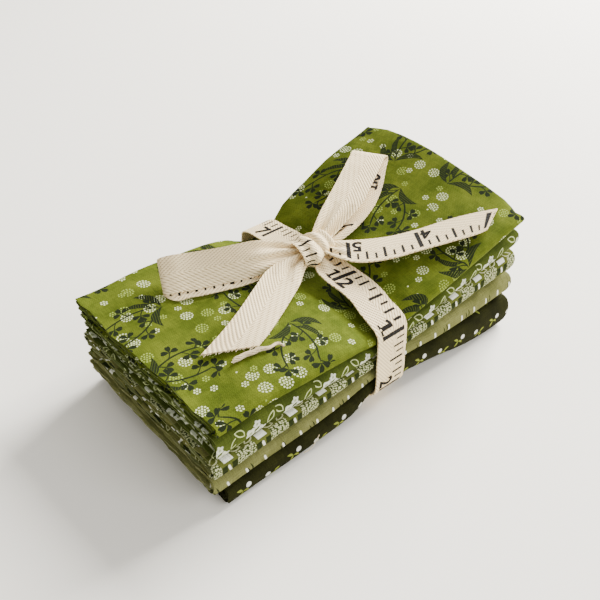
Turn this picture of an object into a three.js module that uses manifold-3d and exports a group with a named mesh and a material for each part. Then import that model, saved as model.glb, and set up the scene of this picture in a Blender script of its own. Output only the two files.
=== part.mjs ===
// A bundle of five folded fat quarters of quilting cotton, tied with a printed twill tape.
// Millimetres. X runs along the folded length, Y from the front to the back, Z up.
import * as THREE from 'three';
import Module from 'manifold-3d';

const wasm = await Module();
wasm.setup();

// ---- Driving sizes -------------------------------------------------------------------------

const LEFT = -70; // the first station, where the loose layers show
const RIGHT = 70; // the last station, where the folded end begins to round over
const FRONT = -40.8; // the rolled front folds
const BACK = 39.8; // the back folds and cut edges
const CINCH = 1.2; // how far the tape draws the front and the back in
const CLOTH_GAP = 0.3; // air between one fat quarter and the next
const LAYER = 0.214; // each of the four layers, as a share of the fat quarter's height
const LAYER_GAP = 0.048; // the air between two layers, as the same kind of share
const BACK_FOLD_DEPTH = 1.8; // how far the fold at the back bulges
const ROUND_END = 5.2; // length of the rounded fold at the right end
const END_OVERLAP = 1.4; // how far that fold reaches back over the layers
const END_CORNER = 2.6; // how far the corners of that fold round in, seen from above
const SELVEDGE_ROUND = 1.0; // the small rounding of that fold along the back
const TAPE_WIDTH = 13.4;
const TAPE_THICKNESS = 1.0;
const TAPE_FRONT_X = 0.8; // the tape's middle line on the front face
const TAPE_BACK_X = 5.6; // and on the back face
const TAPE_LIFT = 1.4; // the bottom cloth rides this high where the tape runs under it
const LIFTED_FROM = -37; // its front edge is drawn up off the table, from this depth
const LIFTED_TO = -8; // to this one
const TAPE_STAND_OFF = 0.5; // from the cinched folds to the tape's inner face

// Stations along the length. They run parallel to the tape near it, and square to X elsewhere.
const STATIONS = [LEFT, -45, -20, -13, -7, 8.5, 16, 26, 42, 57, RIGHT];
const SLANT = [0, 0, 0.5, 0.8, 1, 1, 0.8, 0.5, 0, 0, 0]; // how far each follows the tape
const PULL = [0, 0, 0.1, 0.5, 1, 1, 0.5, 0.1, 0, 0, 0]; // how far the tape cinches each
const FRONT_LIFT = [0, 0.2, 2.4, 2.6, 5.0, 4.9, 5.0, 4.4, 1.4, 0, 0]; // and draws its front up

// Heights of each fat quarter's upper side at the stations, in rows from front to back.
// foldDepth is how far its front fold bulges, leftEnd is where its layers stop, insets moves
// the four layers' ends in from there, bottom one first, and rightEnd is the folded end.
const CLOTHS = [
  {
    name: 'dot_print',
    colour: 0x34331a,
    depths: [-40, 40],
    heights: [
      [9.4, 10.5, 11.6, 12.0, 11.9, 14.2, 14.5, 14.2, 14.2, 14.4, 14.6],
      [7.6, 7.8, 7.6, 7.5, 7.4, 8.2, 10.2, 12.2, 13.4, 14.0, 14.5],
    ],
    front: FRONT + 1.0, foldDepth: 3.4, leftEnd: -67.4, insets: [0, 1.6, 0.9, 0.3], rightEnd: 72.0,
  },
  {
    name: 'dash_print',
    colour: 0x8f9651,
    depths: [-40, 40],
    heights: [
      [16.2, 17.6, 18.2, 18.3, 18.0, 20.0, 21.0, 22.6, 23.6, 24.6, 25.6],
      [14.8, 15.2, 15.0, 14.6, 14.0, 15.2, 18.0, 20.8, 23.6, 25.6, 27.0],
    ],
    front: FRONT + 0.3, foldDepth: 3.2, leftEnd: -72.6, insets: [0.2, 1.4, 2.0, 0], rightEnd: 71.4,
  },
  {
    name: 'lattice_print',
    colour: 0x4d5a22,
    depths: [-40, 40],
    heights: [
      [22.8, 23.6, 23.8, 23.6, 23.0, 25.0, 26.6, 29.4, 32.0, 34.9, 37.2],
      [23.6, 23.6, 22.8, 22.0, 20.6, 22.2, 26.0, 29.2, 33.6, 36.8, 39.2],
    ],
    front: FRONT, foldDepth: 3.4, leftEnd: -72.0, insets: [0.4, 1.8, 0.8, 0.2], rightEnd: 70.2,
  },
  {
    name: 'blossom_print',
    colour: 0x4c6a1c,
    depths: [-40, 40],
    heights: [
      [31.8, 31.4, 30.4, 29.6, 28.0, 29.8, 31.8, 34.9, 39.4, 43.2, 46.0],
      [31.6, 31.2, 30.0, 28.8, 26.8, 28.8, 33.6, 37.4, 43.0, 47.2, 50.2],
    ],
    front: FRONT + 0.2, foldDepth: 3.2, leftEnd: -71.0, insets: [0.1, 1.2, 2.2, 0.6], rightEnd: 70.0,
  },
  {
    name: 'leaf_print',
    colour: 0x74902a,
    depths: [-36, -20, 0, 20, 40],
    heights: [
      [35.2, 36.6, 36.4, 35.4, 33.2, 34.8, 38.6, 41.6, 45.8, 49.2, 52.0],
      [35.4, 37.0, 36.9, 35.9, 34.0, 35.2, 38.8, 41.8, 46.4, 50.6, 55.5],
      [36.2, 37.0, 36.8, 35.8, 34.2, 35.0, 38.4, 41.8, 47.2, 52.2, 58.3],
      [37.0, 37.0, 36.6, 35.4, 33.6, 34.6, 38.6, 42.8, 49.4, 54.6, 60.6],
      [38.4, 38.9, 37.6, 36.2, 32.6, 34.4, 40.6, 44.8, 51.4, 56.6, 61.2],
    ],
    front: FRONT - 0.3, foldDepth: 4.4, leftEnd: -70.6, insets: [0.9, 2.0, 3.2, 0], rightEnd: 71.6,
  },
];
const TAPE_COLOUR = 0xe6dabd;

// The tie, as rows of [edge a x, y, z, edge b x, y, z]. One strip goes from the knot round the
// bundle and back into the knot; the loops go out and come back; the tails end in cut points.
const KNOT = { at: [4.4, 1.6, 43.4], radii: [7.2, 5.4, 4.0], turn: -38, wrap: [3.8, 6.4, 4.7] };
const LEFT_LOOP = [
  [1.6, -0.4, 42.6, 3.0, 4.4, 44.8],
  [-8.4, 2.6, 41.9, -6.4, 9.6, 47.2],
  [-18.6, 5.4, 40.6, -14.6, 11.6, 50.2],
  [-30.0, 10.4, 39.8, -25.4, 16.6, 49.8],
  [-40.0, 14.8, 39.4, -35.0, 22.6, 48.8],
  [-46.8, 18.4, 39.2, -43.2, 26.9, 48.6],
  [-48.2, 19.4, 38.7, -44.4, 28.4, 47.4],
  [-47.2, 20.2, 37.9, -43.4, 29.2, 46.0],
  [-39.8, 17.4, 37.9, -34.2, 26.2, 45.2],
  [-30.0, 13.2, 38.1, -23.6, 21.2, 45.8],
  [-19.0, 9.0, 38.8, -14.2, 16.4, 46.2],
  [-8.0, 5.2, 40.2, -6.4, 12.2, 44.8],
  [1.6, 0.6, 41.8, 3.0, 5.2, 43.8],
];
const RIGHT_LOOP = [
  [4.2, 4.8, 45.4, 9.0, 0.4, 44.2],
  [10.6, 7.4, 48.8, 17.8, 1.0, 47.0],
  [19.4, 11.8, 52.0, 28.2, 2.8, 50.8],
  [31.6, 18.6, 55.2, 40.6, 9.0, 54.4],
  [43.6, 26.0, 57.4, 51.8, 15.2, 56.6],
  [47.6, 28.4, 57.6, 55.8, 17.6, 56.8],
  [48.6, 28.8, 56.4, 56.8, 18.0, 55.8],
  [47.2, 27.2, 55.2, 54.4, 15.8, 54.8],
  [36.4, 19.6, 50.4, 43.6, 8.2, 50.4],
  [24.6, 13.6, 45.9, 32.4, 2.6, 47.2],
  [13.0, 8.0, 43.4, 20.4, 0.2, 44.2],
  [4.2, 4.4, 43.2, 9.0, 0.0, 42.4],
];
const LEFT_TAIL = [
  [4.6, -1.6, 42.6, 2.4, 3.6, 43.2],
  [-3.4, -2.6, 41.9, -6.4, 4.4, 43.8],
  [-10.6, -7.8, 40.6, -16.2, 2.8, 43.2],
  [-18.0, -11.8, 39.7, -26.0, -2.0, 42.2],
  [-27.0, -16.4, 39.0, -36.2, -6.8, 40.9],
  [-34.4, -20.0, 38.5, -45.4, -10.6, 39.6],
  [-40.2, -22.3, 38.1, -56.0, -13.5, 38.1],
];
const RIGHT_TAIL = [
  [5.6, 3.6, 43.6, 3.6, -1.6, 43.2],
  [11.4, 0.8, 43.5, 5.8, -6.4, 43.3],
  [17.8, -4.8, 43.7, 9.4, -14.6, 43.5],
  [25.6, -11.2, 44.6, 17.2, -21.8, 44.5],
  [36.2, -17.0, 46.3, 28.8, -28.0, 46.6],
  [48.3, -23.8, 49.2, 40.3, -34.4, 49.3],
  [61.3, -33.5, 52.6, 49.2, -38.0, 50.9],
];

// ---- Shapes --------------------------------------------------------------------------------

// A closed body from rings of points, its two end rings filled in as flat shapes.
function loft(rings, flat) {
  const size = rings[0].length;
  const vertices = rings.flat();
  const triangles = [];
  for (let ring = 0; ring < rings.length - 1; ring += 1) {
    for (let i = 0; i < size; i += 1) {
      const a = ring * size + i;
      const b = ring * size + ((i + 1) % size);
      // The same diagonal whichever way the ring runs, so that faces over each other match.
      if (vertices[b].y > vertices[a].y) triangles.push([a, b, a + size], [b, b + size, a + size]);
      else triangles.push([a, b, b + size], [a, b + size, a + size]);
    }
  }
  const last = (rings.length - 1) * size;
  for (const [a, b, c] of THREE.ShapeUtils.triangulateShape(flat(rings[0]), [])) {
    triangles.push([a, c, b]);
  }
  for (const [a, b, c] of THREE.ShapeUtils.triangulateShape(flat(rings.at(-1)), [])) {
    triangles.push([last + a, last + b, last + c]);
  }
  return solid(vertices, triangles);
}

// A manifold body with its faces turned outwards.
function solid(vertices, triangles) {
  const volume = triangles.reduce((sum, [a, b, c]) => (
    sum + vertices[a].dot(new THREE.Vector3().crossVectors(vertices[b], vertices[c]))
  ), 0);
  const outward = volume > 0 ? triangles : triangles.map(([a, b, c]) => [a, c, b]);
  return new wasm.Manifold(new wasm.Mesh({
    numProp: 3,
    vertProperties: new Float32Array(vertices.flatMap((v) => v.toArray())),
    triVerts: new Uint32Array(outward.flat()),
  }));
}

// A named mesh of a manifold body.
function part(name, body, colour, roughness) {
  const mesh = body.getMesh();
  const geometry = new THREE.BufferGeometry();
  geometry.setAttribute('position', new THREE.BufferAttribute(mesh.vertProperties, 3));
  geometry.setIndex(new THREE.BufferAttribute(mesh.triVerts, 1));
  geometry.computeVertexNormals();
  const material = new THREE.MeshStandardMaterial({ color: colour, roughness, metalness: 0 });
  const result = new THREE.Mesh(geometry, material);
  result.name = name;
  return result;
}

// The value at x along a polyline of knots and values, flat beyond its ends.
function along(x, knots, values) {
  const next = knots.findIndex((knot) => knot > x);
  if (next === 0) return values[0];
  if (next < 0) return values.at(-1);
  const share = (x - knots[next - 1]) / (knots[next] - knots[next - 1]);
  return THREE.MathUtils.lerp(values[next - 1], values[next], share);
}

// The x of a station at a depth y: near the tape it follows the tape's slant.
function slanted(station, y) {
  const tapeX = THREE.MathUtils.mapLinear(y, FRONT, BACK, TAPE_FRONT_X, TAPE_BACK_X);
  return station + (tapeX - TAPE_FRONT_X) * along(station, STATIONS, SLANT);
}

// Height of a fat quarter's upper side.
function upperSide(cloth, station, y) {
  return along(y, cloth.depths, cloth.heights.map((row) => along(station, STATIONS, row)));
}

// Height of its lower side: just over the one below, or the floor and the tape that runs there.
function lowerSide(index, station, y) {
  if (index > 0) return upperSide(CLOTHS[index - 1], station, y) + CLOTH_GAP;
  const atFront = 1 - THREE.MathUtils.smoothstep(y, LIFTED_FROM, LIFTED_TO);
  return TAPE_LIFT * THREE.MathUtils.smoothstep(along(station, STATIONS, PULL), 0.1, 0.9)
    + along(station, STATIONS, FRONT_LIFT) * atFront;
}

// ---- The folded fat quarters ---------------------------------------------------------------

const ALONG_DEPTH = [-20, 0, 20];
const LAYERS = [0, 1, 2, 3].map((layer) => layer * (LAYER + LAYER_GAP)); // their lower sides
const HALF_GAP = LAYER_GAP / 2;
const LOWER_PAIR = LAYER + HALF_GAP; // the middle of the lower two layers
const OUTER_FOLD = 0.5;
const INNER_FOLD = LAYER + HALF_GAP;

// One back-and-forth section of the cloth's four layers, as points of depth y and height share t.
// The outer two join at the front round the inner two, and the lower two join at the back.
// inset is how far the point's layer stops short at the left end.
function foldedSection(front, back, foldDepth, insets) {
  const points = [];
  const frontFold = front + foldDepth;
  const backFold = back - BACK_FOLD_DEPTH;
  const add = (y, t, inset) => points.push({ y, t, inset });
  const run = (ys, t, inset) => ys.forEach((y) => add(y, t, inset));
  const bend = (y, t, radius, depth, degrees, from, to) => degrees.forEach((degree) => {
    const angle = THREE.MathUtils.degToRad(degree);
    const share = (1 - Math.sin(angle)) / 2;
    add(y + depth * radius * Math.cos(angle), t + radius * Math.sin(angle),
      THREE.MathUtils.lerp(from, to, share));
  });
  const toFront = [back, ...ALONG_DEPTH.toReversed(), frontFold];
  const toBack = [...ALONG_DEPTH, back];
  const depthPerShare = -foldDepth / OUTER_FOLD;
  const backPerShare = BACK_FOLD_DEPTH / INNER_FOLD;
  const [first, second, third, fourth] = insets;
  const down = [58, 28, 0, -28, -58];
  const up = down.toReversed();
  // The outer face, from the back of the top layer.
  run(toFront, 1, fourth);
  bend(frontFold, 0.5, OUTER_FOLD, depthPerShare, down, fourth, first);
  run([frontFold, ...ALONG_DEPTH, backFold], 0, first);
  bend(backFold, LOWER_PAIR, LOWER_PAIR, backPerShare, [-45, 0, 45], second, first);
  run([backFold, ...ALONG_DEPTH.toReversed(), frontFold], LAYERS[1] + LAYER, second);
  run([frontFold, ...toBack], LAYERS[2], third);
  // The inner face, back from the end of the third layer.
  run(toFront, LAYERS[2] + LAYER, third);
  bend(frontFold, 0.5, INNER_FOLD, depthPerShare, [50, 0, -50], third, second);
  run([frontFold, ...ALONG_DEPTH, backFold], LAYERS[1], second);
  run([backFold, ...ALONG_DEPTH.toReversed(), frontFold], LAYER, first);
  bend(frontFold, 0.5, OUTER_FOLD - LAYER, depthPerShare, up, fourth, first);
  run([frontFold, ...toBack], LAYERS[3], fourth);
  return points;
}

// The outline of the whole folded cloth, for the rounded fold at its right end.
function outline(front, back, foldDepth) {
  const frontFold = front + foldDepth;
  const points = [[back, 0.12], [back, 0.88]];
  const toFront = [back - SELVEDGE_ROUND, ...ALONG_DEPTH.toReversed(), frontFold];
  points.push(...toFront.map((y) => [y, 1]));
  for (const degree of [58, 28, 0, -28, -58]) {
    const angle = THREE.MathUtils.degToRad(degree);
    points.push([frontFold - foldDepth * Math.cos(angle), 0.5 + 0.5 * Math.sin(angle)]);
  }
  points.push(...toFront.toReversed().map((y) => [y, 0]));
  return points;
}

function fatQuarter(cloth, index) {
  const place = (station, y, t, x) => new THREE.Vector3(
    x,
    y,
    THREE.MathUtils.lerp(lowerSide(index, station, y), upperSide(cloth, station, y), t),
  );
  const ends = (station) => {
    const pull = CINCH * along(station, STATIONS, PULL);
    return [cloth.front + pull, BACK - pull];
  };
  const bodyEnd = Math.min(RIGHT, cloth.rightEnd - ROUND_END) - END_OVERLAP / 2;
  const rings = STATIONS.map((station, number) => {
    const [front, back] = ends(station);
    return foldedSection(front, back, cloth.foldDepth, cloth.insets).map(({ y, t, inset }) => {
      if (number === 0) return place(cloth.leftEnd + inset, y, t, cloth.leftEnd + inset);
      if (station === RIGHT) return place(bodyEnd, y, t, bodyEnd);
      return place(station, y, t, slanted(station, y));
    });
  });
  const flat = (ring) => ring.map((p) => new THREE.Vector2(p.y, p.z));
  // The folded end: the outline shrinks towards its middle height as it rounds over.
  const start = Math.min(RIGHT, cloth.rightEnd - ROUND_END) - END_OVERLAP;
  const reach = cloth.rightEnd - start;
  const [front, back] = ends(RIGHT);
  const capRings = [0, 35, 62, 84].map((degree) => {
    const angle = THREE.MathUtils.degToRad(degree);
    const x = start + reach * Math.sin(angle);
    const narrow = END_CORNER * (1 - Math.cos(angle));
    return outline(front, back, cloth.foldDepth).map(([y, t]) => {
      const depth = THREE.MathUtils.mapLinear(y, front, back, front + narrow, back - narrow);
      return place(Math.min(x, RIGHT), depth, 0.5 + (t - 0.5) * Math.cos(angle), x);
    });
  });
  return part(cloth.name, loft(rings, flat).add(loft(capRings, flat)), cloth.colour, 0.9);
}

// ---- The tie -------------------------------------------------------------------------------

// A strip of tape through rows of its two edges.
function tapeStrip(rows) {
  const edges = rows.map((row) => [new THREE.Vector3(...row), new THREE.Vector3(...row.slice(3))]);
  const middles = edges.map(([a, b]) => a.clone().lerp(b, 0.5));
  const rings = edges.map(([a, b], i) => {
    const ahead = middles[Math.min(i + 1, middles.length - 1)];
    const run = ahead.clone().sub(middles[Math.max(i - 1, 0)]);
    const half = run.cross(b.clone().sub(a)).setLength(TAPE_THICKNESS / 2);
    return [a.clone().add(half), b.clone().add(half), b.clone().sub(half), a.clone().sub(half)];
  });
  return loft(rings, () => [[0, 0], [1, 0], [1, 1], [0, 1]].map((p) => new THREE.Vector2(...p)));
}

// The turn round the bundle: out of the knot, over the front, underneath and up the back.
function tapeRound() {
  const half = TAPE_WIDTH / 2;
  const outwards = TAPE_STAND_OFF + TAPE_THICKNESS / 2;
  const frontY = CLOTHS.at(-1).front + CINCH - outwards;
  const backY = BACK - CINCH + outwards;
  const floorZ = TAPE_THICKNESS / 2;
  const path = [
    [4.2, 0.6, 41.4, 3.6],
    [4.2, -4.8, 40.5, 5.0],
    [4.6, -11.0, 39.4, half],
    [4.0, -22.0, 38.0, half],
    [2.8, -32.0, 37.0, half],
    [1.8, -38.2, 36.4, half],
    [1.2, -40.8, 34.0, half],
    [TAPE_FRONT_X, frontY, 29.0, half],
    [TAPE_FRONT_X, frontY, 9.0, half],
    [TAPE_FRONT_X, frontY + 0.9, 6.9, half],
    [TAPE_FRONT_X + 0.1, frontY + 2.8, 5.7, half],
    [TAPE_FRONT_X + 0.3, -35.0, 5.2, half],
    [TAPE_FRONT_X + 1.2, -20.0, 2.2, half],
    [TAPE_FRONT_X + 1.7, -12.0, floorZ, half],
    [TAPE_BACK_X, backY - 2.2, floorZ, half],
    [TAPE_BACK_X, backY - 0.7, floorZ + 1.0, half],
    [TAPE_BACK_X, backY, 3.6, half],
    [TAPE_BACK_X, backY, 33.2, half],
    [TAPE_BACK_X, backY - 0.6, 35.6, half],
    [TAPE_BACK_X, backY - 3.2, 36.6, half],
    [5.4, 28.0, 37.6, half],
    [4.8, 18.0, 39.0, half],
    [4.2, 9.6, 40.6, 5.2],
    [4.0, 3.4, 41.6, 3.6],
  ];
  return tapeStrip(path.map(([x, y, z, reach]) => [x - reach, y, z, x + reach, y, z]));
}

// The knot: a pinched lump with one turn of tape drawn tight across it.
function knot() {
  const lump = (radii) => {
    const body = wasm.Manifold.sphere(1, 16).scale(radii).rotate([0, 0, KNOT.turn]);
    return body.translate(KNOT.at);
  };
  return lump(KNOT.radii).add(lump(KNOT.wrap));
}

function tie() {
  const strips = [LEFT_LOOP, RIGHT_LOOP, LEFT_TAIL, RIGHT_TAIL].map(tapeStrip);
  const body = [tapeRound(), ...strips].reduce((whole, strip) => whole.add(strip), knot());
  return part('tape_tie', body, TAPE_COLOUR, 0.95);
}

// ---- The bundle ----------------------------------------------------------------------------

const bundle = new THREE.Group();
CLOTHS.forEach((cloth, index) => bundle.add(fatQuarter(cloth, index)));
bundle.add(tie());

export default bundle;
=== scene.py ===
import math

import bpy
import numpy as np
from mathutils import Matrix, Vector


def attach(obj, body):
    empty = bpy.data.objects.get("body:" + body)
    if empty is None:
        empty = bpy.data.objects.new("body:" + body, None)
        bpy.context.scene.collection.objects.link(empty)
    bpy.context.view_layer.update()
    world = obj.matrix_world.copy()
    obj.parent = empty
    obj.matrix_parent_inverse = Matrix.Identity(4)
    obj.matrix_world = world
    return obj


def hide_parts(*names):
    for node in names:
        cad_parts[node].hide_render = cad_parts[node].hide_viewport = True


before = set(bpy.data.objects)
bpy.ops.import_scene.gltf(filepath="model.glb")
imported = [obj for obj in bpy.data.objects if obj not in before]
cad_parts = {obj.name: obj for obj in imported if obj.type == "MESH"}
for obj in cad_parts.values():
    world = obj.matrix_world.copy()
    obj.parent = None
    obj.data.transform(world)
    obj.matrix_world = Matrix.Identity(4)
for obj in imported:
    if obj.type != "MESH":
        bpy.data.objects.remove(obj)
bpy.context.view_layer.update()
MM = 0.001

# ---- Camera, floor and light ---------------------------------------------------------------
# A plain pale table top under a high soft window light from the right, with a weaker fill from
# the front. Nothing here belongs to the bundle.
camera_data = bpy.data.cameras.new("camera")
camera_data.lens = 44.7
camera_data.sensor_width = 36
camera_data.clip_start = 0.01
camera = bpy.data.objects.new("camera", camera_data)
bpy.context.collection.objects.link(camera)
sight = Vector((-0.509, -0.618, 0.599)).normalized()
level = Vector((0, 0, 1)).cross(sight).normalized()
roll = Matrix.Rotation(math.radians(-1.5), 3, sight)
side, above = roll @ level, roll @ sight.cross(level)
camera.matrix_world = Matrix.LocRotScale(
    Vector((-0.1431, -0.1680, 0.1887)), Matrix((side, above, sight)).transposed(), None
)
bpy.context.scene.camera = camera


class Dye:
    """A value or colour on its way through a material's nodes."""

    def __init__(self, tree, socket=None):
        self.tree, self.socket = tree, socket

    def add(self, kind, settings=None, sockets=None, output=0):
        """One of the outputs of a new node."""
        made = self.tree.nodes.new(kind)
        for name, value in (settings or {}).items():
            setattr(made, name, value)
        for name, value in (sockets or {}).items():
            if isinstance(value, Dye):
                self.tree.links.new(value.socket, made.inputs[name])
            else:
                made.inputs[name].default_value = value
        return Dye(self.tree, made.outputs[output])

    def maths(self, operation, *others):
        sockets = dict(enumerate((self, *others)))
        return self.add("ShaderNodeMath", {"operation": operation}, sockets)

    def vector_maths(self, operation, sockets):
        return self.add("ShaderNodeVectorMath", {"operation": operation}, {0: self, **sockets})

    def __add__(self, other):
        return self.maths("ADD", other)

    def __sub__(self, other):
        return self.maths("SUBTRACT", other)

    def __rsub__(self, other):
        return self.add("ShaderNodeMath", {"operation": "SUBTRACT"}, {0: other, 1: self})

    def __mul__(self, other):
        return self.maths("MULTIPLY", other)

    def __truediv__(self, other):
        return self.maths("DIVIDE", other)

    def __mod__(self, other):
        return self.maths("FLOORED_MODULO", other)

    def __abs__(self):
        return self.maths("ABSOLUTE")

    __radd__ = __add__
    __rmul__ = __mul__

    def crisp(self, width):
        """A mask from a distance inside a shape: 1 within it, with an edge this wide."""
        settings = {"operation": "MULTIPLY_ADD", "use_clamp": True}
        return self.add("ShaderNodeMath", settings, {0: self, 1: 1 / width, 2: 0.5})

    def output(self, index):
        """Another output of the node that this one comes from."""
        return Dye(self.tree, self.socket.node.outputs[index])

    def parts(self):
        """The first two numbers of a position."""
        split = self.add("ShaderNodeSeparateXYZ", None, {0: self})
        return split, split.output(1)

    def mix(self, below, above):
        """One colour over another one, where this mask says."""
        sockets = {0: self, 6: below, 7: above}
        return self.add("ShaderNodeMix", {"data_type": "RGBA"}, sockets, 2)

    def moved(self, place, turn=0.0, scale=(1, 1)):
        """A position seen from a place, turned and scaled."""
        sockets = {
            "Vector": self,
            "Location": (*place, 0),
            "Rotation": (0, 0, turn),
            "Scale": (*scale, 1),
        }
        return self.add("ShaderNodeMapping", {"vector_type": "TEXTURE"}, sockets)

    def noise(self, scale, detail=2.0, roughness=0.5):
        sockets = {"Vector": self, "Scale": scale, "Detail": detail, "Roughness": roughness}
        return self.add("ShaderNodeTexNoise", {"noise_dimensions": "2D"}, sockets)

    def voronoi(self, scale, randomness):
        sockets = {"Vector": self, "Scale": scale, "Randomness": randomness}
        return self.add("ShaderNodeTexVoronoi", {"voronoi_dimensions": "2D"}, sockets)


def position(x, y):
    return x.add("ShaderNodeCombineXYZ", None, {0: x, 1: y})


def hue(text):
    """A colour from its web code, as the shaders take it."""
    values = [int(text[i : i + 2], 16) / 255 for i in (1, 3, 5)]
    return (*(v / 12.92 if v < 0.04045 else ((v + 0.055) / 1.055) ** 2.4 for v in values), 1)


def new_material(name, roughness, sheen=0.0):
    material = bpy.data.materials.new(name)
    material.use_nodes = True
    shader = material.node_tree.nodes["Principled BSDF"]
    shader.inputs["Roughness"].default_value = roughness
    shader.inputs["Specular IOR Level"].default_value = 0.05
    shader.inputs["Sheen Weight"].default_value = sheen
    return material, shader, Dye(material.node_tree)


def flecked(name, roughness, scale, below, above):
    """A matt material in irregular flecks of two colours."""
    material, shader, dye = new_material(name, roughness)
    places = dye.add("ShaderNodeTexCoord", None, None, 3)
    flecks = dye.add("ShaderNodeTexNoise", None, {"Vector": places, "Scale": scale})
    colour = flecks.mix(hue(below), hue(above))
    material.node_tree.links.new(colour.socket, shader.inputs["Base Color"])
    return material


def lit_panel(name, place, aim, width, height, power, colour):
    bpy.ops.object.light_add(type="AREA", location=place)
    lamp = bpy.context.object
    lamp.name = name
    lamp.data.shape = "RECTANGLE"
    lamp.data.size, lamp.data.size_y = width, height
    lamp.data.energy, lamp.data.color = power, colour
    lamp.rotation_euler = (Vector(aim) - Vector(place)).to_track_quat("-Z", "Y").to_euler()


bpy.ops.object.select_all(action="DESELECT")
bpy.ops.mesh.primitive_plane_add(size=6, location=(0, 0, -0.05 * MM))
floor = bpy.context.object
floor.name = "floor"
floor_material, floor_shader, _ = new_material("table_top", 0.6)
floor_shader.inputs["Base Color"].default_value = (0.97, 0.935, 0.86, 1)
floor.data.materials.append(floor_material)

lit_panel("window", (1.16, 0.15, 0.7), (0, 0, 0.02), 0.8, 0.8, 90, (1.0, 0.985, 0.95))
lit_panel("front_fill", (0.25, -0.95, 0.7), (0, 0, 0.02), 0.8, 0.6, 10, (1.0, 1.0, 1.0))
world = bpy.data.worlds.new("studio")
world.use_nodes = True
world.node_tree.nodes["Background"].inputs["Color"].default_value = (1.0, 0.98, 0.93, 1)
world.node_tree.nodes["Background"].inputs["Strength"].default_value = 0.65
bpy.context.scene.world = world

# ---- The five folded fat quarters ----------------------------------------------------------
# Quilting cotton, 22 in of width by 18 in of length. Each is folded in half twice along its
# length, printed side out, and then over itself into six packs of those four layers.
FLAT = (559.0, 457.0)
THREAD = 0.2  # thickness of the cloth
TOP_THREAD = 0.15  # and of the top one, whose layers lie closest
PACKS = 6
ALL_LAYERS = 4 * PACKS
CLOSENESS = 0.86  # how far apart layers lie in a pack, as a share of an even spacing
DRIFT = 1.3  # how far packs lie from an even spacing at the left end, in layers
LAYER_STEP = 0.3  # how much further each fold reaches than the one inside it
GAP = 0.3  # between one fat quarter and the next
STATIONS = np.array([-70, -45, -20, -13, -7, 8.5, 16, 26, 42, 57, 70.0])
SLANT = np.array([0, 0, 0.5, 0.8, 1, 1, 0.8, 0.5, 0, 0, 0])  # how far each follows the tape
PULL = np.array([0, 0, 0.1, 0.5, 1, 1, 0.5, 0.1, 0, 0, 0])  # how far the tape cinches each
FRONT_LIFT = np.array([0, 0.2, 2.4, 2.6, 5.0, 4.9, 5.0, 4.4, 1.4, 0, 0])  # drawn off the table
TAPE_ROOM = 1.4  # under the pile, for the tape
CINCH = 1.2  # how far the tape draws in the front and the back
BACK = 39.8
BACK_FOLD = 1.8  # how far the folds at the back bulge
BACK_LAYERS = 3.5  # of cloth in half of the largest one
NOSE = 3.4  # how far the folded right end rounds over
CORNER = 3.2  # how far it rounds off at its front and back corners, seen from above
CORNER_DEPTH = 1 / 6  # over this share of the depth
# Heights of each upper side at the stations, in rows from front to back, bottom cloth first.
HEIGHTS = {
    "dot_print": (
        [-40, 40],
        [6.8, 9.0, 10.8, 11.5, 11.9, 14.2, 14.5, 14.2, 14.2, 14.4, 14.6],
        [7.6, 7.8, 7.6, 7.5, 7.4, 8.2, 10.2, 12.2, 13.4, 14.0, 14.5],
    ),
    "dash_print": (
        [-40, 40],
        [14.0, 16.2, 17.6, 18.1, 18.0, 20.0, 21.0, 22.6, 23.6, 24.6, 25.6],
        [14.8, 15.2, 15.0, 14.6, 14.0, 15.2, 18.0, 20.8, 23.6, 25.6, 27.0],
    ),
    "lattice_print": (
        [-40, 40],
        [21.4, 22.7, 23.3, 23.4, 23.0, 25.0, 26.6, 29.4, 32.0, 34.9, 37.2],
        [23.6, 23.6, 22.8, 22.0, 20.6, 22.2, 26.0, 29.2, 33.6, 36.8, 39.2],
    ),
    "blossom_print": (
        [-40, 40],
        [30.8, 30.7, 30.1, 29.4, 28.0, 29.8, 31.8, 34.9, 39.4, 43.2, 46.0],
        [31.6, 31.2, 30.0, 28.8, 26.8, 28.8, 33.6, 37.4, 43.0, 47.2, 50.2],
    ),
    "leaf_print": (
        [-36, -20, 0, 20, 40],
        [35.2, 36.6, 36.4, 35.4, 33.2, 34.8, 38.6, 41.6, 45.8, 49.0, 50.4],
        [35.4, 37.0, 36.9, 35.9, 34.0, 35.2, 38.8, 41.8, 46.4, 50.6, 54.4],
        [36.2, 37.0, 36.8, 35.8, 34.2, 35.0, 38.4, 41.8, 47.2, 52.2, 58.3],
        [37.0, 37.0, 36.6, 35.4, 33.6, 34.6, 38.6, 42.8, 49.4, 54.6, 60.6],
        [38.4, 38.9, 37.6, 36.2, 32.6, 34.4, 40.6, 44.8, 51.4, 56.6, 61.2],
    ),
}
CLOTHS = list(HEIGHTS)
# Front edge, bulge of the front folds, where the layers stop at the left, how ragged they are
# there, the folded right end, and how much further the layers reach at the back.
SHAPES = {
    "dot_print": (-40.6, 2.6, -68.2, 1.2, 72.0, 0),
    "dash_print": (-40.5, 3.2, -72.4, 1.6, 71.4, 0),
    "lattice_print": (-40.8, 3.4, -72.0, 1.8, 70.2, 0),
    "blossom_print": (-40.6, 3.2, -71.0, 2.0, 70.0, 1.2),
    "leaf_print": (-41.1, 4.2, -70.7, 1.2, 71.6, 2.4),
}


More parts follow.
